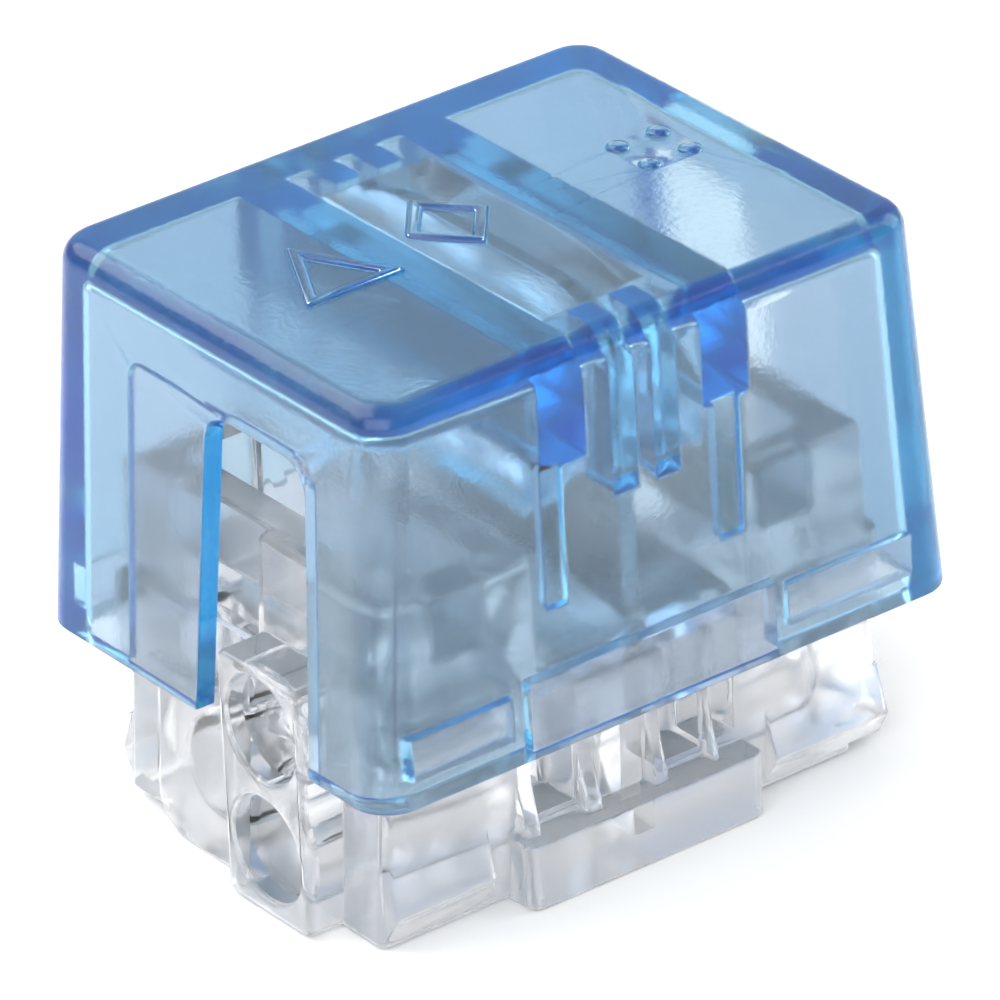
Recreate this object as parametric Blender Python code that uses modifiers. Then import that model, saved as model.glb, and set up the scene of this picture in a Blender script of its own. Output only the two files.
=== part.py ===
"""Press-on splice connector: a translucent cap that slides down over a clear base.

Frame: origin at the middle of the base's underside, +Z up, +X along the long side.
The design has 180 degree symmetry about Z: the left end (-X) has its wire nozzle on
the front half (-Y), the right end (+X) has its nozzle on the back half (+Y).
All dimensions below are in millimetres; MM turns them into metres.
"""
import math

import bmesh
import bpy
from mathutils import Matrix, Vector

MM = 0.001

# ---- cap ---------------------------------------------------------------------
CAP_SKIRT_Z = 4.5          # lower edge of the open cap above the table
CAP_TOP_Z = 14.45
CAP_CEILING_Z = 13.45
CAP_BOTTOM = (17.0, 13.2)  # outer length and width at the skirt
CAP_TOP = (15.74, 12.48)   # outer length and width at the top
CAP_CORNER_R = 1.0
CAP_TOP_EDGE_R = 0.55
CAVITY_BOTTOM_HX = 7.70    # half length of the cavity at the skirt
CAVITY_TOP_HX = 7.15
CAVITY_HY = 5.45
RIB_X = (1.7, 3.0)         # ribs under the ceiling run between these |x|
RIB_Z = 11.2               # their lower edge
SLOT_Y = (-3.85, 0.47)     # end-wall slot at the left end, at the skirt
SLOT_TOP_Y = (-3.65, 0.05)  # and at its top
SLOT_TOP_Z = 12.27
RELIEF_Y = (-3.6, 3.4)     # thinned part of the left end wall
RELIEF_TOP_Z = 12.2
END_WALL_T = 0.55          # its thickness
RIM_RELIEF_X = (-3.9, 3.3)  # front rim relief for the base's middle block
RIM_RELIEF_Y = 6.0
RIM_RELIEF_Z = 6.25
LATCH_POCKETS = ((-7.2, -4.3), (3.7, 7.4))
LATCH_POCKET_Y = 5.85
LATCH_POCKET_Z = (4.9, 6.0)
PILASTERS = ((-3.05, -2.45), (2.0, 2.7))  # upright bars on the inside of the front wall, below the ribs
PILASTER_Y = 5.1
PILASTER_Z = 7.7
RAIL_X = (0.27, 0.95)      # rails that hold the contact's edges
RAIL_Y = 4.3
RAIL_Z = 9.6

# ---- base --------------------------------------------------------------------
BASE_HY = 4.95
BASE_BOTTOM_HX = 7.45
BASE_TOP_HX = 6.95
TOWER_Z = 8.85
WELL_HX = 3.1              # the low middle part between the towers
WELL_Z = 5.0
BORE_R = 1.33
BORE_Y = 1.85
BORE_Z = (1.75, 4.9)
BORE_END_X = 6.3
NOZZLE_X = 8.4
NOZZLE_Y = (-3.45, -0.25)
NOZZLE_Z = 6.45
CONTACT_SLOT_HX = 0.32
CONTACT_SLOT_HY = 4.7
CONTACT_SLOT_Z = 0.45
RIDGE_Y = 5.35
RIDGES = ((-7.3, -4.4), (3.85, 7.25))
MIDDLE_BLOCK_X = (-3.75, 3.15)
MIDDLE_BLOCK_Y = 5.85
MIDDLE_BLOCK_Z = 1.65

# ---- contact -----------------------------------------------------------------
CONTACT_T = 0.44
CONTACT_HY = 4.6
CONTACT_Z = (4.9, 13.4)
CONTACT_CORNER_R = 2.0
WIRE_SLOT_HW = 0.27
WIRE_SLOT_TOP = 11.0

# ---- gel ---------------------------------------------------------------------
GEL_R = 1.27
GEL_X = (-7.9, 6.15)
CAP_GEL_Z = (9.9, 13.38)
CAP_GEL_LOBE = (2.6, 4.2, 9.47, 11.05)  # half length, half width and heights of the gel below the ribs
WELL_GEL_Z = (5.05, 6.45)


def clear_scene():
    for ob in list(bpy.data.objects):
        bpy.data.objects.remove(ob, do_unlink=True)
    for me in list(bpy.data.meshes):
        bpy.data.meshes.remove(me)
    for cu in list(bpy.data.curves):
        bpy.data.curves.remove(cu)
    for col in list(bpy.data.collections):
        bpy.data.collections.remove(col)


clear_scene()
PARTS = bpy.data.collections.new("splice_connector")
CUTTERS = bpy.data.collections.new("cutters")
bpy.context.scene.collection.children.link(PARTS)
bpy.context.scene.collection.children.link(CUTTERS)


# ---- helpers -----------------------------------------------------------------
def material(name, color, roughness, metallic=0.0, transmission=0.0, ior=1.5):
    mat = bpy.data.materials.new(name)
    mat.use_nodes = True
    bsdf = mat.node_tree.nodes["Principled BSDF"]
    bsdf.inputs["Base Color"].default_value = (*color, 1.0)
    bsdf.inputs["Roughness"].default_value = roughness
    bsdf.inputs["Metallic"].default_value = metallic
    bsdf.inputs["Transmission Weight"].default_value = transmission
    bsdf.inputs["IOR"].default_value = ior
    return mat


def link(ob, cutter):
    (CUTTERS if cutter else PARTS).objects.link(ob)
    if cutter:
        ob.hide_render = True
        ob.display_type = "WIRE"
    return ob


def box(name, lo, hi, lo_top=None, hi_top=None, cutter=True, bevels=(), width=1.0, segments=3):
    """A box from lo to hi; lo_top and hi_top give another x, y extent at the top.

    bevels is a list of (test, weight): every edge whose two ends pass the test gets
    that bevel weight, of a Bevel modifier as wide as `width`.
    """
    bm = bmesh.new()
    bmesh.ops.create_cube(bm, size=1.0)
    lo_top = lo_top or lo
    hi_top = hi_top or hi
    for v in bm.verts:
        top = v.co.z > 0
        a, b = (lo_top, hi_top) if top else (lo, hi)
        v.co = Vector((b[0] if v.co.x > 0 else a[0],
                       b[1] if v.co.y > 0 else a[1],
                       hi[2] if top else lo[2])) * MM
    if bevels:
        layer = bm.edges.layers.float.new("bevel_weight_edge")
        for e in bm.edges:
            p, q = (v.co / MM for v in e.verts)
            for test, weight in bevels:
                if test(p, q):
                    e[layer] = weight
                    break
    me = bpy.data.meshes.new(name)
    bm.to_mesh(me)
    bm.free()
    ob = link(bpy.data.objects.new(name, me), cutter)
    if bevels:
        mod = ob.modifiers.new("round", "BEVEL")
        mod.limit_method = "WEIGHT"
        mod.width = width * MM
        mod.segments = segments
        mod.affect = "EDGES"
    return ob


def cylinder_x(name, r, x0, x1, y, z, sides=32, cutter=True):
    """A cylinder along X from x0 to x1."""
    bm = bmesh.new()
    bmesh.ops.create_cone(bm, cap_ends=True, segments=sides, radius1=r * MM, radius2=r * MM,
                          depth=abs(x1 - x0) * MM)
    bmesh.ops.rotate(bm, verts=bm.verts, cent=(0, 0, 0), matrix=Matrix.Rotation(math.pi / 2, 3, "Y"))
    me = bpy.data.meshes.new(name)
    bm.to_mesh(me)
    bm.free()
    ob = link(bpy.data.objects.new(name, me), cutter)
    ob.location = Vector(((x0 + x1) / 2, y, z)) * MM
    return ob


def prism_x(name, outline, x0, x1, cutter=True):
    """An outline of (y, z) points, as a flat 2D curve, extruded along X."""
    cu = bpy.data.curves.new(name, "CURVE")
    cu.dimensions = "2D"
    cu.fill_mode = "BOTH"
    cu.extrude = abs(x1 - x0) / 2 * MM
    sp = cu.splines.new("POLY")
    sp.points.add(len(outline) - 1)
    for p, (y, z) in zip(sp.points, outline):
        p.co = (y * MM, z * MM, 0.0, 1.0)
    sp.use_cyclic_u = True
    curve = bpy.data.objects.new(name + "_outline", cu)
    bpy.context.scene.collection.objects.link(curve)
    # curve x -> world y, curve y -> world z, curve z -> world x
    turn = Matrix(((0, 0, 1, 0), (1, 0, 0, 0), (0, 1, 0, 0), (0, 0, 0, 1)))
    curve.matrix_world = Matrix.Translation(((x0 + x1) / 2 * MM, 0, 0)) @ turn
    bpy.context.view_layer.update()
    me = bpy.data.meshes.new_from_object(curve.evaluated_get(bpy.context.evaluated_depsgraph_get()))
    bm = bmesh.new()
    bm.from_mesh(me)
    bmesh.ops.remove_doubles(bm, verts=bm.verts, dist=1e-7)
    bmesh.ops.recalc_face_normals(bm, faces=bm.faces)
    bm.to_mesh(me)
    bm.free()
    me.name = name
    ob = link(bpy.data.objects.new(name, me), cutter)
    ob.matrix_world = curve.matrix_world.copy()
    bpy.data.objects.remove(curve, do_unlink=True)
    return ob


def turned(ob, name=None):
    """The same shape turned half a turn about Z: the object's other half."""
    bpy.context.view_layer.update()
    twin = bpy.data.objects.new(name or ob.name + "_turned", ob.data)
    for col in ob.users_collection:
        col.objects.link(twin)
    twin.hide_render = ob.hide_render
    twin.display_type = ob.display_type
    twin.matrix_world = Matrix.Rotation(math.pi, 4, "Z") @ ob.matrix_world
    for mod in ob.modifiers:
        new = twin.modifiers.new(mod.name, mod.type)
        new.limit_method = mod.limit_method
        new.width = mod.width
        new.segments = mod.segments
        new.affect = mod.affect
    return twin


def boolean(ob, tool, operation):
    mod = ob.modifiers.new(operation.lower() + "_" + tool.name, "BOOLEAN")
    mod.operation = operation
    mod.solver = "EXACT"
    mod.object = tool
    return mod


def cut(ob, tool):
    return boolean(ob, tool, "DIFFERENCE")


def join(ob, tool):
    return boolean(ob, tool, "UNION")


def vertical(p, q):
    return abs(p.z - q.z) > 0.5


def at_z(z):
    return lambda p, q: abs(p.z - z) < 1e-3 and abs(q.z - z) < 1e-3


def finish(ob, mat):
    ob.data.materials.clear()
    ob.data.materials.append(mat)
    ob.data.shade_smooth()
    ob.data.set_sharp_from_angle(angle=math.radians(30))


# ---- materials ---------------------------------------------------------------
BLUE = material("blue_plastic", (0.10, 0.38, 0.70), 0.12, transmission=0.9)
CLEAR = material("clear_plastic", (0.86, 0.87, 0.88), 0.10, transmission=0.95)
TINNED = material("tinned_metal", (0.72, 0.73, 0.75), 0.28, metallic=1.0)
GEL = material("gel", (0.90, 0.91, 0.92), 0.20, transmission=0.95, ior=1.41)


# ---- cap ---------------------------------------------------------------------
def half(pair):
    return pair[0] / 2, pair[1] / 2


def outer_hx(z):
    t = (z - CAP_SKIRT_Z) / (CAP_TOP_Z - CAP_SKIRT_Z)
    return CAP_BOTTOM[0] / 2 + t * (CAP_TOP[0] - CAP_BOTTOM[0]) / 2


def make_cap():
    hx0, hy0 = half(CAP_BOTTOM)
    hx1, hy1 = half(CAP_TOP)
    cap = box("cap", (-hx0, -hy0, CAP_SKIRT_Z), (hx0, hy0, CAP_TOP_Z),
              (-hx1, -hy1), (hx1, hy1), cutter=False,
              bevels=((vertical, 1.0), (at_z(CAP_TOP_Z), CAP_TOP_EDGE_R / CAP_CORNER_R)),
              width=CAP_CORNER_R, segments=3)
    # room for the base, open below
    z0 = CAP_SKIRT_Z - 0.5
    slope = (CAVITY_BOTTOM_HX - CAVITY_TOP_HX) / (CAP_CEILING_Z - CAP_SKIRT_Z)
    hxa = CAVITY_BOTTOM_HX + slope * 0.5
    hxb = CAVITY_BOTTOM_HX - slope * (RIB_Z - CAP_SKIRT_Z)
    cut(cap, box("cavity", (-hxa, -CAVITY_HY, z0), (hxa, CAVITY_HY, RIB_Z),
                 (-hxb, -CAVITY_HY), (hxb, CAVITY_HY),
                 bevels=((vertical, 0.5),), segments=2))
    # three compartments under the ceiling, with a rib between each two
    hxc = hxb + slope * 0.3 - 0.05
    for name, xa, xb, xa1, xb1 in (
            ("compartment_left", -hxc, -RIB_X[1], -CAVITY_TOP_HX + 0.05, -RIB_X[1]),
            ("compartment_middle", -RIB_X[0], RIB_X[0], -RIB_X[0], RIB_X[0]),
            ("compartment_right", RIB_X[1], hxc, RIB_X[1], CAVITY_TOP_HX - 0.05)):
        cut(cap, box(name, (xa, -CAVITY_HY + 0.02, RIB_Z - 0.3), (xb, CAVITY_HY - 0.02, CAP_CEILING_Z),
                     (xa1, -CAVITY_HY + 0.05), (xb1, CAVITY_HY - 0.05)))
    # thinned end walls, then the slots through them
    za, zb = z0, RELIEF_TOP_Z
    xa, xb = outer_hx(za) - END_WALL_T, outer_hx(zb) - END_WALL_T
    relief = box("end_relief", (-xa, RELIEF_Y[0], za), (-6.6, RELIEF_Y[1], zb),
                 (-xb, RELIEF_Y[0]), (-6.6, RELIEF_Y[1]),
                 bevels=((lambda p, q: at_z(zb)(p, q) and abs(p.x - q.x) > 0.1, 0.5),), segments=2)
    cut(cap, relief)
    cut(cap, turned(relief))
    slot = box("end_slot", (-9.5, SLOT_Y[0], z0), (-6.7, SLOT_Y[1], SLOT_TOP_Z),
               (-9.5, SLOT_TOP_Y[0]), (-6.7, SLOT_TOP_Y[1]),
               bevels=((lambda p, q: at_z(SLOT_TOP_Z)(p, q) and abs(p.x - q.x) > 0.1, 0.9),), segments=4)
    cut(cap, slot)
    cut(cap, turned(slot))
    # rim relief for the base's middle block, and latch pockets beside it
    rim = box("rim_relief", (RIM_RELIEF_X[0], -RIM_RELIEF_Y, z0),
              (RIM_RELIEF_X[1], -CAVITY_HY + 0.6, RIM_RELIEF_Z))
    cut(cap, rim)
    cut(cap, turned(rim))
    for i, (x0, x1) in enumerate(LATCH_POCKETS):
        pocket = box("latch_pocket_%d" % i, (x0, -LATCH_POCKET_Y, LATCH_POCKET_Z[0]),
                     (x1, -CAVITY_HY + 0.6, LATCH_POCKET_Z[1]))
        cut(cap, pocket)
        cut(cap, turned(pocket))
    # rails for the contact's two edges
    for i, (xa, xb) in enumerate(((-RAIL_X[1], -RAIL_X[0]), (RAIL_X[0], RAIL_X[1]))):
        rail = box("rail_%d" % i, (xa, -CAVITY_HY - 0.4, RAIL_Z), (xb, -RAIL_Y, CAP_CEILING_Z + 0.4))
        join(cap, rail)
        join(cap, turned(rail))
    for i, (xa, xb) in enumerate(PILASTERS):
        bar = box("pilaster_%d" % i, (xa, -CAVITY_HY - 0.4, PILASTER_Z), (xb, -PILASTER_Y, RIB_Z + 0.2))
        join(cap, bar)
        join(cap, turned(bar))
    finish(cap, BLUE)
    return cap


# ---- base --------------------------------------------------------------------
def make_base():
    base = box("base", (-BASE_BOTTOM_HX, -BASE_HY, 0), (BASE_BOTTOM_HX, BASE_HY, TOWER_Z),
               (-BASE_TOP_HX, -BASE_HY), (BASE_TOP_HX, BASE_HY), cutter=False,
               bevels=((vertical, 0.3), (at_z(TOWER_Z), 0.25), (at_z(0), 0.2)), segments=2)
    # the low middle part, between the towers
    cut(base, box("well", (-WELL_HX, -6.5, WELL_Z), (WELL_HX, 6.5, 10.0)))
    # a nozzle on the front half of the left end, and the closed channel end beside it
    nozzle = box("nozzle", (-NOZZLE_X, NOZZLE_Y[0], 0), (-6.5, NOZZLE_Y[1], NOZZLE_Z),
                 bevels=((lambda p, q: min(p.x, q.x) < -8.3, 0.3),
                         (lambda p, q: abs(p.x - q.x) > 0.1, 0.3)), segments=2)
    join(base, nozzle)
    join(base, turned(nozzle))
    closed = box("closed_end", (-7.75, NOZZLE_Y[1] - 0.15, 0), (-6.5, 3.4, 4.5),
                 (-7.45, NOZZLE_Y[1] - 0.15), (-6.5, 3.4),
                 bevels=((lambda p, q: abs(p.x - q.x) > 0.1 and p.z < 1 and p.y > 1, 1.2),
                         (lambda p, q: abs(p.x - q.x) > 0.1 and p.y > 1, 0.5)), segments=3)
    join(base, closed)
    join(base, turned(closed))
    # middle blocks on both long sides
    block = box("middle_block", (MIDDLE_BLOCK_X[0], -MIDDLE_BLOCK_Y, 0),
                (MIDDLE_BLOCK_X[1], -BASE_HY + 0.5, MIDDLE_BLOCK_Z),
                bevels=((vertical, 0.3), (lambda p, q: max(p.y, q.y) < -5, 0.2)), segments=2)
    join(base, block)
    join(base, turned(block))
    # latch ridges low down, and smaller holding ridges in the cap's pockets
    for i, (x0, x1) in enumerate(RIDGES):
        low = prism_x("ridge_%d" % i, ((-BASE_HY + 0.4, 0.25), (-BASE_HY + 0.4, 2.1), (-BASE_HY, 2.1),
                                       (-RIDGE_Y + 0.04, 1.12), (-RIDGE_Y, 0.95), (-RIDGE_Y + 0.06, 0.8),
                                       (-BASE_HY, 0.25)), x0, x1)
        high = prism_x("holding_ridge_%d" % i,
                       ((-BASE_HY + 0.4, 5.0), (-BASE_HY + 0.4, 5.9), (-BASE_HY, 5.9),
                        (-RIDGE_Y, 5.45), (-BASE_HY, 5.0)), max(x0, -6.9), min(x1, 6.8))
        for ridge in (low, high):
            join(base, ridge)
            join(base, turned(ridge))
    # gussets between the middle block and the wall above it
    for i, (x0, x1) in enumerate(((-3.5, -3.0), (-1.8, -1.3), (0.3, 0.75), (1.9, 2.25))):
        gusset = prism_x("gusset_%d" % i, ((-BASE_HY + 0.4, 1.4), (-BASE_HY + 0.4, 3.1), (-BASE_HY, 3.1),
                                           (-5.36, 1.9), (-5.36, 1.4)), x0, x1)
        join(base, gusset)
        join(base, turned(gusset))
    # side notches above the middle block
    for i, (x0, x1) in enumerate(((-3.0, -1.8), (0.75, 1.9), (2.25, 2.95))):
        notch = box("side_notch_%d" % i, (x0, -6.4, 1.9), (x1, -3.75, WELL_Z + 0.5))
        cut(base, notch)
        cut(base, turned(notch))
    # undercut below the latch ridge at the plain end of each long side
    undercut = box("undercut", (6.35, -6.4, -0.5), (8.5, -3.6, 0.28))
    cut(base, undercut)
    cut(base, turned(undercut))
    # towers are hollow above the channels
    tower = box("tower_core", (-5.65, -4.0, 6.7), (-3.9, 4.0, 10.0))
    cut(base, tower)
    cut(base, turned(tower))
    # the back part of each tower's end face stands back a little
    setback = box("tower_setback", (-9.0, -0.2, 6.0), (-6.62, 6.0, 10.0))
    cut(base, setback)
    cut(base, turned(setback))
    # wire channels, two above each other, open at the nozzle and blind at the far end
    for i, z in enumerate(BORE_Z):
        bore = cylinder_x("bore_%d" % i, BORE_R, -9.0, BORE_END_X, -BORE_Y, z)
        cut(base, bore)
        cut(base, turned(bore))
    # slot for the contact
    cut(base, box("contact_slot", (-CONTACT_SLOT_HX, -CONTACT_SLOT_HY, CONTACT_SLOT_Z),
                  (CONTACT_SLOT_HX, CONTACT_SLOT_HY, WELL_Z + 1.0)))
    finish(base, CLEAR)
    return base


# ---- contact -----------------------------------------------------------------
def make_contact():
    z0, z1 = CONTACT_Z
    hy, r = CONTACT_HY, CONTACT_CORNER_R
    right = [(0.0, z0 + 0.9), (0.45, z0 + 0.9), (0.75, z0)]
    # wire slot: a funnel that closes to parallel edges, round at the top
    a, b = BORE_Y - WIRE_SLOT_HW, BORE_Y + WIRE_SLOT_HW
    right += [(BORE_Y - 0.85, z0), (a, z0 + 1.5), (a, WIRE_SLOT_TOP - WIRE_SLOT_HW)]
    right += [(BORE_Y - WIRE_SLOT_HW * math.cos(t), WIRE_SLOT_TOP - WIRE_SLOT_HW + WIRE_SLOT_HW * math.sin(t))
              for t in (math.pi * k / 6 for k in range(1, 6))]
    right += [(b, WIRE_SLOT_TOP - WIRE_SLOT_HW), (b, z0 + 1.5), (BORE_Y + 0.85, z0)]
    right += [(hy - 0.5, z0), (hy, z0 + 0.7), (hy, z1 - r)]
    right += [(hy - r + r * math.cos(t), z1 - r + r * math.sin(t))
              for t in (math.pi / 2 * k / 8 for k in range(1, 9))]
    left = [(-y, z) for y, z in reversed(right) if y > 0]
    contact = prism_x("idc_contact", right + left, -CONTACT_T / 2, CONTACT_T / 2, cutter=False)
    finish(contact, TINNED)
    return contact


# ---- gel ---------------------------------------------------------------------
def make_gels():
    cap_gel = box("cap_gel", (-RIB_X[0] + 0.06, -RAIL_Y + 0.08, CAP_GEL_Z[0]),
                  (RIB_X[0] - 0.06, RAIL_Y - 0.08, CAP_GEL_Z[1]), cutter=False,
                  bevels=((at_z(CAP_GEL_Z[0]), 0.4),), segments=3)
    hx, hy, za, zb = CAP_GEL_LOBE
    join(cap_gel, box("cap_gel_lobe", (-hx, -hy, za), (hx, hy, zb), bevels=((at_z(za), 0.3),), segments=2))
    cut(cap_gel, box("cap_gel_slit", (-0.27, -6, 8), (0.27, 6, 14)))
    bridge = box("cap_gel_bridge", (-0.6, -BORE_Y - 0.2, CAP_GEL_Z[0] + 0.1), (0.6, -BORE_Y + 0.2, 10.6))
    join(cap_gel, bridge)
    join(cap_gel, turned(bridge))

    well_gel = box("well_gel", (-WELL_HX + 0.06, -BASE_HY + 0.1, WELL_GEL_Z[0]),
                   (WELL_HX - 0.06, BASE_HY - 0.1, WELL_GEL_Z[1]), cutter=False,
                   bevels=((at_z(WELL_GEL_Z[1]), 0.45),), segments=3)
    cut(well_gel, box("well_gel_slit", (-0.27, -CONTACT_HY - 0.06, 4), (0.27, CONTACT_HY + 0.06, 8)))

    gels = [cap_gel, well_gel]
    open_top = box("well_above", (-WELL_HX - 0.05, -6, WELL_Z - 0.05), (WELL_HX + 0.05, 6, 8))
    contact_gap = box("contact_gap", (-0.3, -6, 4.75), (0.3, 6, 8))
    for level, z in zip(("lower", "upper"), BORE_Z):
        front = cylinder_x("front_%s_gel" % level, GEL_R, GEL_X[0], GEL_X[1], -BORE_Y, z, sides=24, cutter=False)
        back = turned(front, "back_%s_gel" % level)
        back.data = front.data.copy()
        for gel in (front, back):
            if level == "upper":
                cut(gel, open_top)
                cut(gel, contact_gap)
            gels.append(gel)
    for gel in gels:
        finish(gel, GEL)
    return gels


cap = make_cap()
base = make_base()
contact = make_contact()
gels = make_gels()

# the cap, the contact and the gel in the cap slide together on one empty, whose
# origin lies on the press axis at the skirt's height
press = bpy.data.objects.new("press_axis", None)
PARTS.objects.link(press)
press.location = (0.0, 0.0, CAP_SKIRT_Z * MM)
bpy.context.view_layer.update()
for ob in (cap, contact, gels[0]):
    world = ob.matrix_world.copy()
    ob.parent = press
    ob.matrix_parent_inverse = press.matrix_world.inverted()
    ob.matrix_world = world
bpy.context.view_layer.update()
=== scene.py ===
import math

import bmesh
import bpy
from mathutils import Matrix, Vector


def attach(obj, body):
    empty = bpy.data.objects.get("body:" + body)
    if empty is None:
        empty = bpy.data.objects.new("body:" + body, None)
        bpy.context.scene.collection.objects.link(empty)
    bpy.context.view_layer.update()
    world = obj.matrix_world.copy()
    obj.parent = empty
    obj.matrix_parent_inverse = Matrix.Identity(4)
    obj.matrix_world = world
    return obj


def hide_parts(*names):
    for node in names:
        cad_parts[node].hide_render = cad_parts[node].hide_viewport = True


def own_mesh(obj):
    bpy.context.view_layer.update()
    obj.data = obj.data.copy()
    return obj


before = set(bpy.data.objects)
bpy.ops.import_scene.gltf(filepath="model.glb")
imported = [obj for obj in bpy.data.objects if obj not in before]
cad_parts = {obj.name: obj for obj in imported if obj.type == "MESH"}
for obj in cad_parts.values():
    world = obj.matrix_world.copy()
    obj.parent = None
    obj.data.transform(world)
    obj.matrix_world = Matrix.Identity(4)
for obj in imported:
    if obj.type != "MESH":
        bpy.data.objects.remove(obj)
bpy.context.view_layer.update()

# Looks of the press-on splice connector. Lengths below are millimetres in the row
# frame (base underside at z 0, +X along the long side); MM turns them into metres.
MM = 0.001
scene = bpy.context.scene

# ---- sizes, the same as the CAD's --------------------------------------------
SKIRT_Z, TOP_Z, CEILING_Z = 4.5, 14.45, 13.45
OUT0, OUT1 = (8.5, 6.6), (7.87, 6.24)
CAV_HX0, CAV_HX1, CAV_HY = 7.70, 7.15, 5.45
RIB_X, RIB_Z = (1.7, 3.0), 11.2
END_WALL_T = 0.55
BASE_HY, TOWER_Z, WELL_HX, WELL_Z = 4.95, 8.85, 3.1, 5.0
BORE_R, BORE_Y, BORE_Z, BORE_END_X = 1.33, 1.85, (1.75, 4.9), 6.3
NOZZLE_X, NOZZLE_Y, NOZZLE_Z = 8.4, (-3.45, -0.25), 6.45
RIDGE_Y = 5.35
RIDGES = ((-7.3, -4.4), (3.85, 7.25))
GEL_R, GEL_X = 1.27, (-7.9, 6.15)


# ---- mesh helpers --------------------------------------------------------------
def put(bm, name):
    me = bpy.data.meshes.new(name)
    bm.normal_update()
    bm.to_mesh(me)
    bm.free()
    ob = bpy.data.objects.new(name, me)
    scene.collection.objects.link(ob)
    return ob


def round_edges(bm, test, radius, segments):
    edges = [e for e in bm.edges if test(e.verts[0].co / MM, e.verts[1].co / MM)]
    if edges:
        bmesh.ops.bevel(bm, geom=edges, offset=radius * MM, offset_type="OFFSET", segments=segments,
                        profile=0.5, affect="EDGES", clamp_overlap=True, loop_slide=True)


def box(name, lo, hi, lo_top=None, hi_top=None, rounds=()):
    """A box with an optional draft, and rounds = (edge test, radius, segments) in turn."""
    bm = bmesh.new()
    bmesh.ops.create_cube(bm, size=1.0)
    lo_top, hi_top = lo_top or lo, hi_top or hi
    for v in bm.verts:
        top = v.co.z > 0
        a, b = (lo_top, hi_top) if top else (lo, hi)
        v.co = Vector((b[0] if v.co.x > 0 else a[0], b[1] if v.co.y > 0 else a[1],
                       hi[2] if top else lo[2])) * MM
    for test, radius, segments in rounds:
        round_edges(bm, test, radius, segments)
    return put(bm, name)


def extrude_outline(name, points, span, axis):
    """A closed prism of an outline. axis 0: points are (y, z) and span is x; axis 2: points are (x, y), span is z."""
    bm = bmesh.new()
    rings = []
    for s in span:
        ring = []
        for a, b in points:
            co = (s, a, b) if axis == 0 else (a, b, s)
            ring.append(bm.verts.new(Vector(co) * MM))
        rings.append(ring)
    bm.faces.new(rings[0])
    bm.faces.new(list(reversed(rings[-1])))
    n = len(points)
    for r0, r1 in zip(rings, rings[1:]):
        for i in range(n):
            bm.faces.new((r0[i], r0[(i + 1) % n], r1[(i + 1) % n], r1[i]))
    bmesh.ops.recalc_face_normals(bm, faces=bm.faces)
    return put(bm, name)


def rod_x(name, stations, y, z, sides=48):
    """A turned shape along X from (x, radius) stations."""
    bm = bmesh.new()
    rings = []
    for x, r in stations:
        rings.append([bm.verts.new(Vector((x, y + r * math.cos(2 * math.pi * k / sides),
                                           z + r * math.sin(2 * math.pi * k / sides))) * MM)
                      for k in range(sides)])
    bm.faces.new(rings[0])
    bm.faces.new(list(reversed(rings[-1])))
    for r0, r1 in zip(rings, rings[1:]):
        for i in range(sides):
            bm.faces.new((r0[i], r0[(i + 1) % sides], r1[(i + 1) % sides], r1[i]))
    bmesh.ops.recalc_face_normals(bm, faces=bm.faces)
    return put(bm, name)


def turned(ob, name=None):
    """A copy turned half a turn about Z."""
    me = ob.data.copy()
    me.transform(Matrix.Rotation(math.pi, 4, "Z"))
    twin = bpy.data.objects.new(name or ob.name + "_turned", me)
    scene.collection.objects.link(twin)
    return twin


def combine(ob, steps):
    """Applies ('-' or '+', tool) steps to ob by exact booleans, and removes the tools."""
    for i, (sign, tool) in enumerate(steps):
        mod = ob.modifiers.new("b%d" % i, "BOOLEAN")
        mod.operation = "DIFFERENCE" if sign == "-" else "UNION"
        mod.solver = "EXACT"
        mod.object = tool
    bpy.context.view_layer.update()
    me = bpy.data.meshes.new_from_object(ob.evaluated_get(bpy.context.evaluated_depsgraph_get()))
    me.name = ob.name
    ob.modifiers.clear()
    ob.data = me
    for _, tool in steps:
        bpy.data.objects.remove(tool, do_unlink=True)
    return ob


def both(sign, tool):
    """The step for a tool and for the same tool turned half a turn."""
    return [(sign, tool), (sign, turned(tool))]


def refill_flats(bm):
    """Fills every flat region again from its own outline, so that faces with holes in them stay simple."""
    bm.faces.ensure_lookup_table()
    seen, regions = set(), []
    for f in bm.faces:
        if f in seen:
            continue
        seen.add(f)
        region, queue = [f], [f]
        while queue:
            g = queue.pop()
            for e in g.edges:
                if len(e.link_faces) != 2:
                    continue
                h = e.link_faces[0] if e.link_faces[1] is g else e.link_faces[1]
                if h not in seen and h.normal.dot(f.normal) > 0.99999 and \
                        abs((h.calc_center_median() - f.calc_center_median()).dot(f.normal)) < 2e-6:
                    seen.add(h)
                    region.append(h)
                    queue.append(h)
        if len(region) > 1 or len(f.verts) > 4:
            regions.append(region)
    for region in regions:
        inside = set(region)
        normal = max(region, key=lambda g: g.calc_area()).normal.copy()
        rim = [e for g in region for e in g.edges if sum(1 for h in e.link_faces if h in inside) == 1]
        inner = list({e for g in region for e in g.edges if sum(1 for h in e.link_faces if h in inside) == 2})
        rim = list(set(rim))
        bmesh.ops.delete(bm, geom=region, context="FACES_ONLY")
        bmesh.ops.delete(bm, geom=[e for e in inner if e.is_valid], context="EDGES")
        made = bmesh.ops.triangle_fill(bm, use_beauty=True, use_dissolve=False, edges=[e for e in rim if e.is_valid],
                                       normal=normal)
        faces = [g for g in made["geom"] if isinstance(g, bmesh.types.BMFace)]
        for g in faces:
            g.normal_update()
            if g.normal.dot(normal) < 0:
                g.normal_flip()


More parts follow.
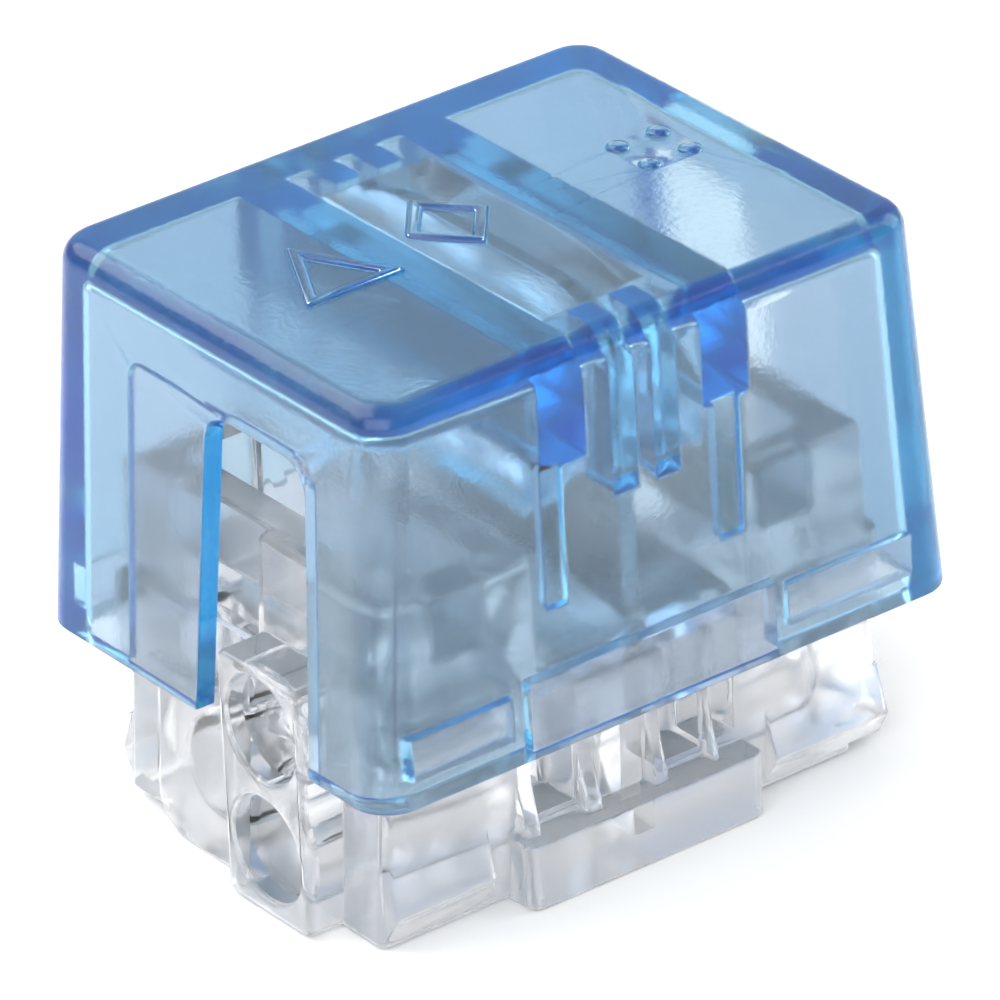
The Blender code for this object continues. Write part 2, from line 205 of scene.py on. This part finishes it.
def fillet(ob, width, segments=2, angle=32.0, keep_sharp=None):
    """Rounds every edge sharper than angle by a small width."""
    bm = bmesh.new()
    bm.from_mesh(ob.data)
    bmesh.ops.remove_doubles(bm, verts=bm.verts, dist=2e-6)
    bmesh.ops.dissolve_degenerate(bm, dist=2e-6, edges=bm.edges)
    bmesh.ops.dissolve_limit(bm, angle_limit=math.radians(0.4), use_dissolve_boundaries=False,
                             verts=bm.verts, edges=bm.edges)
    for e in bm.edges:
        if len(e.link_faces) != 2:
            print("  open before", ob.name, [tuple(round(c / MM, 3) for c in v.co) for v in e.verts], len(e.link_faces))
    edges = [e for e in bm.edges if len(e.link_faces) == 2 and abs(e.calc_face_angle(0.0)) > math.radians(angle)
             and not (keep_sharp and keep_sharp(e.verts[0].co / MM, e.verts[1].co / MM))]
    bmesh.ops.bevel(bm, geom=edges, offset=width * MM, offset_type="OFFSET", segments=segments,
                    profile=0.5, affect="EDGES", clamp_overlap=False, loop_slide=False)
    bmesh.ops.remove_doubles(bm, verts=bm.verts, dist=5e-7)
    bmesh.ops.dissolve_degenerate(bm, dist=5e-7, edges=bm.edges)
    bm.normal_update()
    refill_flats(bm)
    bmesh.ops.recalc_face_normals(bm, faces=bm.faces)
    bad = [e for e in bm.edges if len(e.link_faces) != 2]
    print("fillet", ob.name, "edges", len(edges), "faces", len(bm.faces), "open", len(bad),
          "volume mm3 %.2f" % (bm.calc_volume() / MM ** 3))
    for e in bad[:12]:
        print("  open after", [tuple(round(c / MM, 3) for c in v.co) for v in e.verts], len(e.link_faces))
    bm.to_mesh(ob.data)
    bm.free()
    return ob


def smooth(ob, angle=38.0, weighted=True):
    ob.data.shade_smooth()
    ob.data.set_sharp_from_angle(angle=math.radians(angle))
    if weighted:
        mod = ob.modifiers.new("flat_faces", "WEIGHTED_NORMAL")
        mod.keep_sharp = True
        mod.weight = 80
    return ob


def vertical(p, q):
    return abs(p.z - q.z) > 0.5


def level(z):
    return lambda p, q: abs(p.z - z) < 1e-3 and abs(q.z - z) < 1e-3


def along_x(p, q):
    return abs(p.x - q.x) > 0.1


# ---- materials -----------------------------------------------------------------
def new_material(name):
    mat = bpy.data.materials.new(name)
    mat.use_nodes = True
    nt = mat.node_tree
    return mat, nt, nt.nodes["Principled BSDF"]


def set_values(bsdf, **values):
    for key, value in values.items():
        bsdf.inputs[key.replace("_", " ")].default_value = value


def object_noise(nt, scale, detail=2.0, roughness=0.5, stretch=None):
    coords = nt.nodes.new("ShaderNodeTexCoord")
    source = coords.outputs["Object"]
    if stretch:
        mapping = nt.nodes.new("ShaderNodeMapping")
        mapping.inputs["Scale"].default_value = stretch
        nt.links.new(source, mapping.inputs["Vector"])
        source = mapping.outputs["Vector"]
    noise = nt.nodes.new("ShaderNodeTexNoise")
    noise.inputs["Scale"].default_value = scale
    noise.inputs["Detail"].default_value = detail
    noise.inputs["Roughness"].default_value = roughness
    nt.links.new(source, noise.inputs["Vector"])
    return noise.outputs["Fac"]


def spread(nt, value, lo, hi, low_in=0.0, high_in=1.0):
    node = nt.nodes.new("ShaderNodeMapRange")
    node.inputs["From Min"].default_value = low_in
    node.inputs["From Max"].default_value = high_in
    node.inputs["To Min"].default_value = lo
    node.inputs["To Max"].default_value = hi
    nt.links.new(value, node.inputs["Value"])
    return node.outputs["Result"]


def maths(nt, op, a, b):
    node = nt.nodes.new("ShaderNodeMath")
    node.operation = op
    for i, x in enumerate((a, b)):
        if isinstance(x, (int, float)):
            node.inputs[i].default_value = x
        else:
            nt.links.new(x, node.inputs[i])
    return node.outputs[0]


def bumped(nt, bsdf, height, distance, strength):
    bump = nt.nodes.new("ShaderNodeBump")
    bump.inputs["Distance"].default_value = distance
    bump.inputs["Strength"].default_value = strength
    nt.links.new(height, bump.inputs["Height"])
    nt.links.new(bump.outputs["Normal"], bsdf.inputs["Normal"])
    return bump


def grained_plastic(name, base, ior, outer_rough, inner_rough, grain_um, absorb=None, density=0.0,
                    transmission=1.0):
    """Clear moulded plastic: spark-eroded grain where the mesh attribute 'outer' is 1, polished elsewhere."""
    mat, nt, bsdf = new_material(name)
    set_values(bsdf, Base_Color=(*base, 1.0), Transmission_Weight=transmission, IOR=ior)
    outer = nt.nodes.new("ShaderNodeAttribute")
    outer.attribute_name = "outer"
    mask = outer.outputs["Fac"]
    fine = object_noise(nt, 5200.0, 3.0, 0.62)
    broad = object_noise(nt, 700.0, 2.0, 0.5)
    flow = object_noise(nt, 260.0, 1.0, 0.5, (1.0, 0.35, 1.0))
    height = maths(nt, "ADD", maths(nt, "MULTIPLY", fine, maths(nt, "ADD", maths(nt, "MULTIPLY", mask, 1.0), 0.12)),
                   maths(nt, "MULTIPLY", maths(nt, "ADD", broad, flow), 0.5))
    bumped(nt, bsdf, height, grain_um * 1e-6, 1.0)
    rough = maths(nt, "ADD", maths(nt, "MULTIPLY", spread(nt, fine, outer_rough * 0.6, outer_rough * 1.4, 0.3, 0.7), mask),
                  spread(nt, broad, inner_rough * 0.6, inner_rough * 1.4, 0.3, 0.7))
    nt.links.new(rough, bsdf.inputs["Roughness"])
    if absorb:
        volume = nt.nodes.new("ShaderNodeVolumeAbsorption")
        volume.inputs["Color"].default_value = (*absorb, 1.0)
        volume.inputs["Density"].default_value = density
        nt.links.new(volume.outputs[0], nt.nodes["Material Output"].inputs["Volume"])
    return mat


BLUE = grained_plastic("blue_plastic_moulded", (0.71, 0.668, 0.735), 1.50, 0.13, 0.06, 7.0,
                       (0.0, 0.74, 0.94), 430.0)
CLEAR = grained_plastic("clear_plastic_moulded", (0.96, 0.96, 0.965), 1.49, 0.10, 0.08, 5.0, transmission=0.89)
WETTED = grained_plastic("clear_plastic_wetted", (0.96, 0.962, 0.97), 1.06, 0.0, 0.10, 2.0)


def tinned_metal():
    mat, nt, bsdf = new_material("tinned_metal_sheet")
    set_values(bsdf, Metallic=1.0)
    grain = object_noise(nt, 900.0, 4.0, 0.6, (1.0, 1.0, 14.0))
    blotch = object_noise(nt, 420.0, 3.0, 0.55)
    ramp = nt.nodes.new("ShaderNodeValToRGB")
    ramp.color_ramp.elements[0].position = 0.3
    ramp.color_ramp.elements[0].color = (0.50, 0.51, 0.53, 1.0)
    ramp.color_ramp.elements[1].position = 0.75
    ramp.color_ramp.elements[1].color = (0.80, 0.80, 0.82, 1.0)
    nt.links.new(blotch, ramp.inputs["Fac"])
    nt.links.new(ramp.outputs["Color"], bsdf.inputs["Base Color"])
    nt.links.new(spread(nt, maths(nt, "ADD", grain, blotch), 0.18, 0.42, 0.6, 1.4), bsdf.inputs["Roughness"])
    bumped(nt, bsdf, maths(nt, "ADD", grain, maths(nt, "MULTIPLY", blotch, 1.5)), 6e-6, 0.8)
    return mat


METAL = tinned_metal()


def gel(name, ior):
    mat, nt, bsdf = new_material(name)
    set_values(bsdf, Base_Color=(0.97, 0.975, 0.98, 1.0), Transmission_Weight=1.0, IOR=ior)
    slow = object_noise(nt, 500.0, 2.0, 0.5)
    nt.links.new(spread(nt, slow, 0.02, 0.09, 0.3, 0.7), bsdf.inputs["Roughness"])
    bumped(nt, bsdf, slow, 3e-5, 0.6)
    return mat


GEL = gel("sealing_gel_free", 1.33)
GEL_WET = gel("sealing_gel_wetted", 1.02)


# ---- cap -------------------------------------------------------------------------
def out_h(z):
    t = (z - SKIRT_Z) / (TOP_Z - SKIRT_Z)
    return OUT0[0] + t * (OUT1[0] - OUT0[0]), OUT0[1] + t * (OUT1[1] - OUT0[1])


def make_cap():
    cap = box("cap_shell", (-OUT0[0], -OUT0[1], SKIRT_Z), (OUT0[0], OUT0[1], TOP_Z),
              (-OUT1[0], -OUT1[1]), (OUT1[0], OUT1[1]),
              rounds=((vertical, 1.0, 8), (level(TOP_Z), 0.55, 6)))
    z0 = SKIRT_Z - 0.5
    slope = (CAV_HX0 - CAV_HX1) / (CEILING_Z - SKIRT_Z)
    cavity = box("cavity", (-CAV_HX0 - slope * 0.5, -CAV_HY, z0), (CAV_HX0 + slope * 0.5, CAV_HY, CEILING_Z),
                 (-CAV_HX1, -CAV_HY), (CAV_HX1, CAV_HY),
                 rounds=((vertical, 0.5, 5), (level(CEILING_Z), 0.3, 4)))
    rib = box("rib", (RIB_X[0], -6.0, RIB_Z), (RIB_X[1], 6.0, 14.0))
    combine(cavity, both("-", rib))
    steps = [("-", cavity)]
    za, zb = z0, 12.2
    xa, xb = out_h(za)[0] - END_WALL_T, out_h(zb)[0] - END_WALL_T
    relief = box("end_relief", (-xa, -3.6, za), (-6.6, 3.4, zb), (-xb, -3.6), (-6.6, 3.4),
                 rounds=((lambda p, q: level(zb)(p, q) and along_x(p, q), 0.45, 4),))
    steps += both("-", relief)
    slot = box("end_slot", (-9.5, -3.85, z0), (-6.7, 0.47, 12.27), (-9.5, -3.65), (-6.7, 0.05),
               rounds=((lambda p, q: level(12.27)(p, q) and along_x(p, q), 0.75, 6),))
    steps += both("-", slot)
    rim = box("rim_relief", (-3.9, -6.0, z0), (3.3, -CAV_HY + 0.6, 6.25))
    steps += both("-", rim)
    for i, (x0, x1) in enumerate(((-7.2, -4.3), (3.7, 7.4))):
        pocket = box("latch_pocket_%d" % i, (x0, -5.85, 4.9), (x1, -CAV_HY + 0.6, 6.0))
        steps += both("-", pocket)
    for i, (a, b) in enumerate(((-0.95, -0.27), (0.27, 0.95))):
        rail = box("rail_%d" % i, (a, -CAV_HY - 0.4, 9.9), (b, -4.3, CEILING_Z + 0.4))
        steps += both("+", rail)
    for i, (a, b) in enumerate(((-3.05, -2.45), (2.0, 2.7))):
        steps += both("+", box("pilaster_%d" % i, (a, -CAV_HY - 0.4, 7.7), (b, -5.1, RIB_Z + 0.2)))
    combine(cap, steps + top_marks())
    fillet(cap, 0.06)
    mark_outer(cap, cap_is_outer)
    return cap


def raised_outline(name, points, width):
    """A closed raised line along a polygon on the top face."""
    n = len(points)
    area = sum(points[i][0] * points[(i + 1) % n][1] - points[(i + 1) % n][0] * points[i][1] for i in range(n))
    if area < 0:
        points = list(reversed(points))
    rings = []
    for side in (0.5, -0.5):
        ring = []
        for i in range(n):
            p, q, r = (Vector(points[(i + k) % n]) for k in (-1, 0, 1))
            a, b = (q - p).normalized(), (r - q).normalized()
            na, nb = Vector((a.y, -a.x)), Vector((b.y, -b.x))
            m = (na + nb).normalized()
            ring.append(q + m * (width * side / max(m.dot(na), 0.3)))
        rings.append(ring)
    bm = bmesh.new()
    levels = []
    for z, pinch in ((TOP_Z - 0.15, 1.0), (TOP_Z + 0.03, 1.0), (TOP_Z + 0.11, 0.55)):
        mid = [(a + b) / 2 for a, b in zip(*rings)]
        levels.append([[bm.verts.new(Vector((*(c + (p - c) * pinch), z)) * MM) for p, c in zip(ring, mid)] for ring in rings])
    for low, high in zip(levels, levels[1:]):
        for k, sign in ((0, 1), (1, -1)):
            for i in range(n):
                j = (i + 1) % n
                f = (low[k][i], low[k][j], high[k][j], high[k][i])
                bm.faces.new(f if sign > 0 else f[::-1])
    for lv, up in ((levels[0], False), (levels[-1], True)):
        for i in range(n):
            j = (i + 1) % n
            f = (lv[0][i], lv[0][j], lv[1][j], lv[1][i])
            bm.faces.new(f if up else f[::-1])
    bmesh.ops.recalc_face_normals(bm, faces=bm.faces)
    return put(bm, name)


def top_marks():
    """Plain raised shapes, only there as moulding marks: a triangle, a diamond and four pips."""
    tri = [(-5.45, -0.75), (-3.15, -0.75), (-4.3, 1.45)]
    dia = [(-1.75, 0.35), (-0.75, -0.85), (0.25, 0.35), (-0.75, 1.55)]
    steps = [("+", raised_outline("mark_triangle", tri, 0.30)), ("+", raised_outline("mark_diamond", dia, 0.30))]
    for i, (x, y) in enumerate(((4.55, -0.45), (5.75, -0.45), (4.55, 0.75), (5.75, 0.75))):
        bm = bmesh.new()
        rings = []
        for z, r in ((TOP_Z - 0.15, 0.27), (TOP_Z + 0.03, 0.27), (TOP_Z + 0.11, 0.15)):
            rings.append([bm.verts.new(Vector((x + r * math.cos(math.pi * k / 8), y + r * math.sin(math.pi * k / 8), z)) * MM)
                          for k in range(16)])
        bm.faces.new(rings[0][::-1])
        bm.faces.new(rings[-1])
        for r0, r1 in zip(rings, rings[1:]):
            for k in range(16):
                bm.faces.new((r0[k], r0[(k + 1) % 16], r1[(k + 1) % 16], r1[k]))
        steps.append(("+", put(bm, "mark_pip_%d" % i)))
    return steps


def mark_outer(ob, test):
    me = ob.data
    layer = me.attributes.new("outer", "FLOAT", "FACE")
    values = [1.0 if test(p.center / MM, p.normal) else 0.0 for p in me.polygons]
    layer.data.foreach_set("value", values)


def cap_is_outer(c, n):
    hx, hy = out_h(c.z)
    if c.z > TOP_Z - 0.35:
        return True
    if abs(c.x) > hx - 0.4 and n.x * c.x > 0.2 * abs(c.x):
        return True
    return abs(c.y) > hy - 0.4 and n.y * c.y > 0.2 * abs(c.y)


# ---- base ------------------------------------------------------------------------
def make_base():
    base = box("base_body", (-7.45, -BASE_HY, 0), (7.45, BASE_HY, TOWER_Z), (-6.95, -BASE_HY), (6.95, BASE_HY),
               rounds=((vertical, 0.3, 4), (level(TOWER_Z), 0.22, 3), (level(0), 0.18, 3)))
    steps = [("-", box("well", (-WELL_HX, -6.5, WELL_Z), (WELL_HX, 6.5, 10.0)))]
    nozzle = box("nozzle", (-NOZZLE_X, NOZZLE_Y[0], 0), (-6.5, NOZZLE_Y[1], NOZZLE_Z),
                 rounds=((along_x, 0.3, 4), (lambda p, q: max(p.x, q.x) < -8.3, 0.2, 3)))
    steps += both("+", nozzle)
    closed = box("closed_end", (-7.75, NOZZLE_Y[1] - 0.15, 0), (-6.5, 3.4, 4.5),
                 (-7.45, NOZZLE_Y[1] - 0.15), (-6.5, 3.4),
                 rounds=((lambda p, q: along_x(p, q) and p.z < 1 and p.y > 1, 1.2, 8),
                         (lambda p, q: along_x(p, q) and p.y > 1 and p.z > 4, 0.5, 4)))
    steps += both("+", closed)
    block = box("middle_block", (-3.75, -5.85, 0), (3.15, -BASE_HY + 0.5, 1.65),
                rounds=((vertical, 0.3, 4), (lambda p, q: max(p.y, q.y) < -5.5 and max(p.z, q.z) > 1.6, 0.2, 3)))
    steps += both("+", block)
    for i, (x0, x1) in enumerate(RIDGES):
        low = extrude_outline("ridge_%d" % i, ((-BASE_HY + 0.4, 0.25), (-BASE_HY + 0.4, 2.1), (-BASE_HY, 2.1),
                              (-RIDGE_Y + 0.04, 1.12), (-RIDGE_Y, 0.95), (-RIDGE_Y + 0.06, 0.8),
                              (-BASE_HY, 0.25)), (x0, x1), 0)
        high = extrude_outline("holding_ridge_%d" % i,
                               ((-BASE_HY + 0.4, 5.0), (-BASE_HY + 0.4, 5.9), (-BASE_HY, 5.9),
                                (-RIDGE_Y, 5.45), (-BASE_HY, 5.0)), (max(x0, -6.9), min(x1, 6.8)), 0)
        for ridge in (low, high):
            steps += both("+", ridge)
    for i, (x0, x1) in enumerate(((-3.5, -3.1), (-1.7, -1.3), (0.3, 0.65), (2.0, 2.15))):
        gusset = extrude_outline("gusset_%d" % i, ((-BASE_HY + 0.4, 1.4), (-BASE_HY + 0.4, 3.1), (-BASE_HY, 3.1),
                                 (-5.36, 1.9), (-5.36, 1.4)), (x0, x1), 0)
        steps += both("+", gusset)
    for i, (x0, x1) in enumerate(((-3.0, -1.8), (0.75, 1.9), (2.25, 2.95))):
        notch = box("side_notch_%d" % i, (x0, -6.4, 1.9), (x1, -3.75, WELL_Z + 0.5),
                    rounds=((lambda p, q: vertical(p, q) and max(p.y, q.y) > -4, 0.2, 3),))
        steps += both("-", notch)
    undercut = box("undercut", (6.35, -6.4, -0.5), (8.5, -3.6, 0.28))
    steps += both("-", undercut)
    tower = box("tower_core", (-5.65, -4.0, 6.7), (-3.9, 4.0, 10.0), rounds=((vertical, 0.3, 4), (level(6.7), 0.2, 3)))
    steps += both("-", tower)
    setback = box("tower_setback", (-9.0, -0.2, 6.0), (-6.62, 6.0, 10.0))
    steps += both("-", setback)
    for i, z in enumerate(BORE_Z):
        bore = rod_x("bore_%d" % i, ((-9.0, BORE_R + 0.6), (-8.4, BORE_R + 0.06), (-8.25, BORE_R), (GEL_X[0], BORE_R),
                                     (BORE_END_X - 0.25, BORE_R), (BORE_END_X, BORE_R - 0.25)), -BORE_Y, z, 64)
        steps += both("-", bore)
    steps.append(("-", box("contact_slot", (-0.32, -4.7, 0.45), (0.32, 4.7, WELL_Z + 1.0))))
    combine(base, steps)
    fillet(base, 0.05)
    mark_outer(base, base_is_outer)
    base.data.materials.clear()
    base.data.materials.append(CLEAR)
    base.data.materials.append(WETTED)
    for p in base.data.polygons:
        p.material_index = 1 if in_gel(p.center / MM, p.normal) else 0
    return base


def in_gel(c, n):
    """Bore walls that the gel wets."""
    for s in (1, -1):
        x, y = s * c.x, s * c.y
        for z in BORE_Z:
            if GEL_X[0] < x < GEL_X[1] + 0.25 and c.z < 8:
                d = math.hypot(y + BORE_Y, c.z - z)
                if d < BORE_R + 0.03 and (d > BORE_R - 0.05 or x > BORE_END_X - 0.3):
                    return True
    return False


def base_is_outer(c, n):
    return (abs(c.y) > 4.7 and n.y * c.y > 0.2 * abs(c.y)) or (abs(c.x) > 6.5 and n.x * c.x > 0.2 * abs(c.x)) \
        or c.z < 0.1 or c.z > TOWER_Z - 0.1


# ---- contact ---------------------------------------------------------------------
def contact_outline(grow=0.0):
    z0, z1, hy, r, hw, top = 4.9, 13.4, 4.6, 2.0, 0.27, 11.0
    right = [(0.0, z0 + 0.9), (0.45, z0 + 0.9), (0.75, z0)]
    a, b = BORE_Y - hw, BORE_Y + hw
    right += [(BORE_Y - 0.85, z0), (a, z0 + 1.5), (a, top - hw)]
    right += [(BORE_Y - hw * math.cos(t), top - hw + hw * math.sin(t)) for t in (math.pi * k / 10 for k in range(1, 10))]
    right += [(b, top - hw), (b, z0 + 1.5), (BORE_Y + 0.85, z0)]
    right += [(hy - 0.5, z0), (hy, z0 + 0.7), (hy, z1 - r)]
    right += [(hy - r + r * math.cos(t), z1 - r + r * math.sin(t)) for t in (math.pi / 2 * k / 14 for k in range(1, 15))]
    left = [(-y, z) for y, z in reversed(right) if y > 0]
    return right + left


def make_contact():
    plate = extrude_outline("contact_plate", contact_outline(), (-0.22, 0.22), 0)
    fillet(plate, 0.05, 3)
    return plate


# ---- gel -------------------------------------------------------------------------
def meniscus_block(name, hx, hy, z_flat, flat_is_top, curve, nx=24, ny=20):
    """A block whose other level face follows curve(x, y)."""
    bm = bmesh.new()
    grid = []
    for i in range(nx + 1):
        row = []
        for j in range(ny + 1):
            x = hx * math.sin(math.pi / 2 * (2 * i / nx - 1))
            y = hy * math.sin(math.pi / 2 * (2 * j / ny - 1))
            row.append(bm.verts.new(Vector((x, y, curve(x, y))) * MM))
        grid.append(row)
    for i in range(nx):
        for j in range(ny):
            bm.faces.new((grid[i][j], grid[i + 1][j], grid[i + 1][j + 1], grid[i][j + 1]))
    border = [e for e in bm.edges if len(e.link_faces) == 1]
    ext = bmesh.ops.extrude_edge_only(bm, edges=border)["geom"]
    low = [v for v in ext if isinstance(v, bmesh.types.BMVert)]
    for v in low:
        v.co.z = z_flat * MM
    rim = [e for e in bm.edges if len(e.link_faces) == 1]
    bmesh.ops.contextual_create(bm, geom=rim)
    bmesh.ops.recalc_face_normals(bm, faces=bm.faces)
    return put(bm, name)


def cap_gel_curve(x, y):
    edge = (abs(y) / 4.22) ** 6 * 0.25
    return 10.15 - 0.10 * x * x - 0.2 * edge + 0.05 * math.sin(2.1 * y + 0.8)


def well_gel_curve(x, y):
    edge = (abs(y) / 4.85) ** 6 * 0.25
    return max(5.3, 6.42 - 0.105 * (x - 0.6) ** 2 - edge + 0.04 * math.sin(1.7 * y))


def make_gels():
    lower = meniscus_block("cap_gel_mass", 2.62, 4.2, 11.05, True, cap_gel_curve)
    upper = box("cap_gel_upper", (-1.64, -4.2, 10.9), (1.64, 4.2, 13.36), rounds=((vertical, 0.15, 3), (level(13.36), 0.25, 4)))
    plate = extrude_outline("plate_room", contact_outline(), (-0.26, 0.26), 0)
    cap_gel = combine(lower, [("+", upper), ("-", plate)])
    cap_gel.data.materials.clear()
    cap_gel.data.materials.append(GEL)
    well = meniscus_block("well_gel_mass", 3.04, 4.85, 5.06, False, well_gel_curve)
    slit = box("well_slit", (-0.27, -4.66, 4.0), (0.27, 4.66, 8.0))
    well_gel = combine(well, [("-", slit)])
    well_gel.data.materials.clear()
    well_gel.data.materials.append(GEL)
    plugs = {}
    for label, z in zip(("lower", "upper"), BORE_Z):
        front = rod_x("front_%s_plug" % label,
                      ((GEL_X[0] + 0.12, 0.6), (GEL_X[0] + 0.05, 1.0), (GEL_X[0] + 0.005, 1.2), (GEL_X[0], GEL_R),
                       (GEL_X[0] + 0.1, GEL_R), (GEL_X[1] - 0.25, GEL_R), (GEL_X[1], GEL_R - 0.25)), -BORE_Y, z, 64)
        # a cut for the plate, with a web left where the plate's wire slot passes
        combine(front, [("-", box("plate_cut_a", (-0.28, -6, -1), (0.28, -BORE_Y - 0.2, 8))),
                        ("-", box("plate_cut_b", (-0.28, -BORE_Y + 0.2, -1), (0.28, 1, 8)))])
        back = turned(front, "back_%s_plug" % label)
        for side, ob in (("front", front), ("back", back)):
            if label == "upper":
                combine(ob, [("-", box("above", (-3.15, -6, 4.95), (3.15, 6, 8))),
                             ("-", box("gap", (-0.3, -6, 4.75), (0.3, 6, 8)))])
            ob.data.materials.clear()
            ob.data.materials.append(GEL)
            ob.data.materials.append(GEL_WET)
            for p in ob.data.polygons:
                end = abs(p.center.x / MM) > 7.6 and abs(p.normal.x) > 0.3
                top = p.normal.z > 0.9 and label == "upper" and abs(p.center.x / MM) < 3.2
                p.material_index = 0 if end or top else 1
            plugs["%s_%s_gel" % (side, label)] = ob
    return cap_gel, well_gel, plugs


# ---- pieces, bodies and finishes ---------------------------------------------------
cap = make_cap()
cap.data.materials.clear()
cap.data.materials.append(BLUE)
base = make_base()
plate = make_contact()
plate.data.materials.clear()
plate.data.materials.append(METAL)
cap_gel, well_gel, plugs = make_gels()

for ob in (cap, base, plate):
    smooth(ob)
for ob in (cap_gel, well_gel, *plugs.values()):
    smooth(ob, 50.0, weighted=False)

for ob, body, node, slot in ((cap, "press_cap", "cap", "blue_plastic"),
                             (base, "base", "base", "clear_plastic"),
                             (plate, "press_cap", "idc_contact", "tinned_metal"),
                             (cap_gel, "press_cap", "cap_gel", "sealing_gel"),
                             (well_gel, "base", "well_gel", "sealing_gel"),
                             *((ob, "base", node, "sealing_gel") for node, ob in plugs.items())):
    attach(ob, body)
    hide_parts(node)

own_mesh(well_gel)
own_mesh(cap_gel)

# ---- floor, light, camera ----------------------------------------------------------
floor_bm = bmesh.new()
bmesh.ops.create_grid(floor_bm, x_segments=8, y_segments=8, size=0.6)
floor = put(floor_bm, "floor")
floor.location.z = -0.00004
floor_mat, floor_nt, floor_bsdf = new_material("floor_paper")
set_values(floor_bsdf, Base_Color=(0.93, 0.93, 0.93, 1.0), Roughness=0.8)
floor_bsdf.inputs["Specular IOR Level"].default_value = 0.1
floor.data.materials.append(floor_mat)

world = bpy.data.worlds.new("studio")
scene.world = world
world.use_nodes = True
wnt = world.node_tree
bg = wnt.nodes["Background"]
coords = wnt.nodes.new("ShaderNodeTexCoord")
split = wnt.nodes.new("ShaderNodeSeparateXYZ")
ramp = wnt.nodes.new("ShaderNodeValToRGB")
ramp.color_ramp.elements[0].position = 0.0
ramp.color_ramp.elements[0].color = (0.62, 0.63, 0.65, 1.0)
ramp.color_ramp.elements[1].position = 0.7
ramp.color_ramp.elements[1].color = (1.0, 1.0, 1.0, 1.0)
wnt.links.new(coords.outputs["Generated"], split.inputs[0])
wnt.links.new(split.outputs["Z"], ramp.inputs["Fac"])
wnt.links.new(ramp.outputs["Color"], bg.inputs["Color"])
bg.inputs["Strength"].default_value = 0.95


def softbox(name, at, size, watts, aim=(0, 0, 0.007)):
    light = bpy.data.lights.new(name, "AREA")
    light.shape = "RECTANGLE"
    light.size, light.size_y = size
    light.energy = watts
    ob = bpy.data.objects.new(name, light)
    scene.collection.objects.link(ob)
    ob.location = at
    ob.rotation_mode = "QUATERNION"
    ob.rotation_quaternion = (Vector(at) - Vector(aim)).to_track_quat("Z", "Y")
    return ob


softbox("key", (-0.14, 0.18, 0.28), (0.42, 0.32), 1.1)
softbox("side", (0.28, -0.10, 0.15), (0.22, 0.26), 0.4)
softbox("fill", (-0.30, -0.24, 0.20), (0.50, 0.36), 1.4)

az, el, roll = math.radians(-36.54), math.radians(28.32), math.radians(-2.668)
back = Vector((math.sin(az) * math.cos(el), -math.cos(az) * math.cos(el), math.sin(el)))
right = Vector((math.cos(az), math.sin(az), 0.0))
up = back.cross(right)
r2 = right * math.cos(roll) + up * math.sin(roll)
u2 = up * math.cos(roll) - right * math.sin(roll)
cam_data = bpy.data.cameras.new("camera")
cam_data.sensor_width = 36.0
cam_data.lens = 385.02
cam_data.clip_start, cam_data.clip_end = 0.01, 20.0
cam = bpy.data.objects.new("camera", cam_data)
scene.collection.objects.link(cam)
at = Vector((0.1326, 0.0, 7.060)) * MM + back * 0.24871
cam.matrix_world = Matrix(((r2.x, u2.x, back.x, at.x), (r2.y, u2.y, back.y, at.y),
                           (r2.z, u2.z, back.z, at.z), (0, 0, 0, 1)))
scene.camera = cam

scene.view_settings.view_transform = "Standard"
scene.cycles.max_bounces = 32
scene.cycles.transmission_bounces = 32
scene.cycles.glossy_bounces = 16
